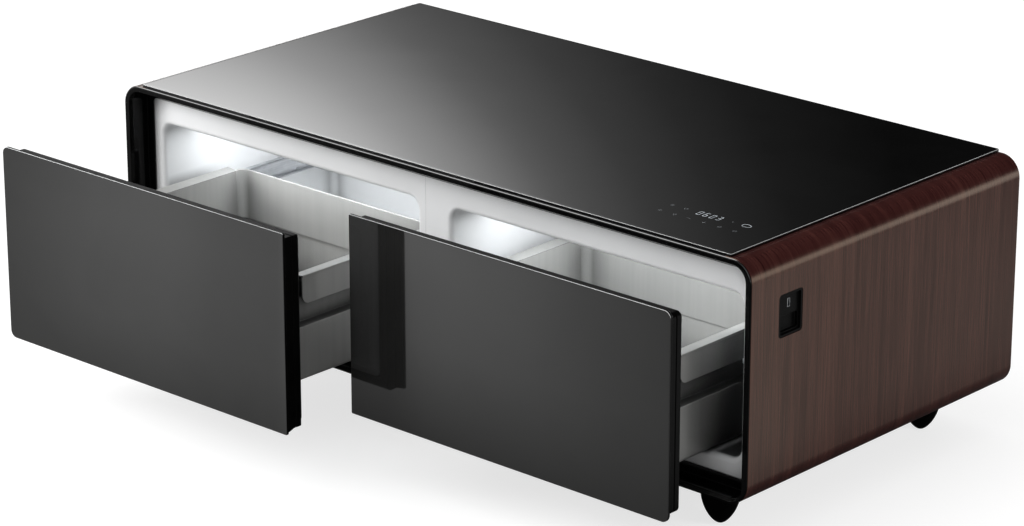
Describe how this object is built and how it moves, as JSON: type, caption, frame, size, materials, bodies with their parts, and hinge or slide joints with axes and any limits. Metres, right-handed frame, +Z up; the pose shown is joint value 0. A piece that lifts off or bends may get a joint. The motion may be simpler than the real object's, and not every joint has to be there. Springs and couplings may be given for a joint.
{
  "type": "refrigerator coffee table",
  "caption": "Low coffee table with a black glass top, curved wood sides and two cooled pull-out drawers on telescopic slides, a side charging recess and short feet.",
  "frame": {"origin": "centre of the bounding box on the floor, with both drawers open as in the picture", "axes": "+X to the right along the length, +Y to the back, the drawers open towards -Y, +Z up"},
  "size_m": [1.3, 0.931, 0.455],
  "materials": {
    "wood_panel": "dark brown fine-grained veneer, satin lacquer",
    "top_glass": "black tempered glass, polished",
    "front_glass": "black back-painted glass, polished",
    "gloss_black": "gloss black",
    "liner_white": "white, satin",
    "basket_grey": "smoky grey, satin",
    "black_plastic": "black, fine satin",
    "black_rubber": "matt black",
    "zinc_steel": "zinc plated, satin",
    "painted_black": "black powder coat",
    "insulation_foam": "rigid foam, matt",
    "copper": "drawn copper, bright",
    "aluminium": "plain, satin",
    "light_diffuser": "translucent white diffuser",
    "circuit_board": "solder-resist green, satin"
  },
  "bodies": {
    "cabinet": {"front_rim": "gloss_black", "left_side_panel": "wood_panel", "right_side_panel": "wood_panel", "top_deck": "painted_black", "glass_top": "top_glass", "base_pan": "painted_black", "back_panel": "painted_black", "intake_grille": "black_plastic", "exhaust_grille": "black_plastic", "mains_inlet": "black_plastic", "insulation_foam": "insulation_foam", "machine_bay_bulkhead": "zinc_steel", "left_liner": "liner_white", "right_liner": "liner_white", "left_light_bar": "light_diffuser", "right_light_bar": "light_diffuser", "left_evaporator": "aluminium", "right_evaporator": "aluminium", "compressor": "painted_black", "condenser": "aluminium", "condenser_fan_shroud": "black_plastic", "condenser_fan_motor": "painted_black", "discharge_pipe": "copper", "suction_pipe": "copper", "filter_drier": "copper", "control_box": "black_plastic", "touch_control_panel": "circuit_board", "charging_module": "gloss_black", "usb_socket": "zinc_steel", "front_left_foot": "black_plastic", "front_right_foot": "black_plastic", "rear_left_foot": "black_plastic", "rear_right_foot": "black_plastic", "left_inner_fixed_member": "zinc_steel", "left_outer_fixed_member": "zinc_steel", "right_inner_fixed_member": "zinc_steel", "right_outer_fixed_member": "zinc_steel"},
    "left_drawer": {"left_drawer_glass": "front_glass", "left_door_body": "gloss_black", "left_door_gasket": "black_rubber", "left_door_inner_panel": "liner_white", "left_basket": "basket_grey", "left_inner_drawer_rail": "black_plastic", "left_outer_drawer_rail": "black_plastic"},
    "left_slide_middles": {"left_inner_middle_member": "zinc_steel", "left_outer_middle_member": "zinc_steel"},
    "right_drawer": {"right_drawer_glass": "front_glass", "right_door_body": "gloss_black", "right_door_gasket": "black_rubber", "right_door_inner_panel": "liner_white", "right_basket": "basket_grey", "right_inner_drawer_rail": "black_plastic", "right_outer_drawer_rail": "black_plastic"},
    "right_slide_middles": {"right_inner_middle_member": "zinc_steel", "right_outer_middle_member": "zinc_steel"},
    "condenser_fan": {"condenser_fan_rotor": "black_plastic"}
  },
  "joints": [
    {"name": "left_drawer_slide", "type": "slide", "parent": "cabinet", "child": "left_drawer", "axis": [0, -1, 0], "range_m": [-0.278, 0.062]},
    {"name": "right_drawer_slide", "type": "slide", "parent": "cabinet", "child": "right_drawer", "axis": [0, -1, 0], "range_m": [-0.149, 0.191]},
    {"name": "left_middle_slide", "type": "slide", "parent": "cabinet", "child": "left_slide_middles", "axis": [0, -1, 0], "range_m": [-0.139, 0.031]},
    {"name": "right_middle_slide", "type": "slide", "parent": "cabinet", "child": "right_slide_middles", "axis": [0, -1, 0], "range_m": [-0.0745, 0.0955]},
    {"name": "condenser_fan_spin", "type": "hinge", "parent": "cabinet", "child": "condenser_fan", "pos_m": [0.33, 0.3758, 0.1808], "axis": [0, 1, 0], "continuous": true}
  ],
  "couplings": [
    {"joint": "left_middle_slide", "follows": "left_drawer_slide", "ratio": 0.5},
    {"joint": "right_middle_slide", "follows": "right_drawer_slide", "ratio": 0.5}
  ]
}
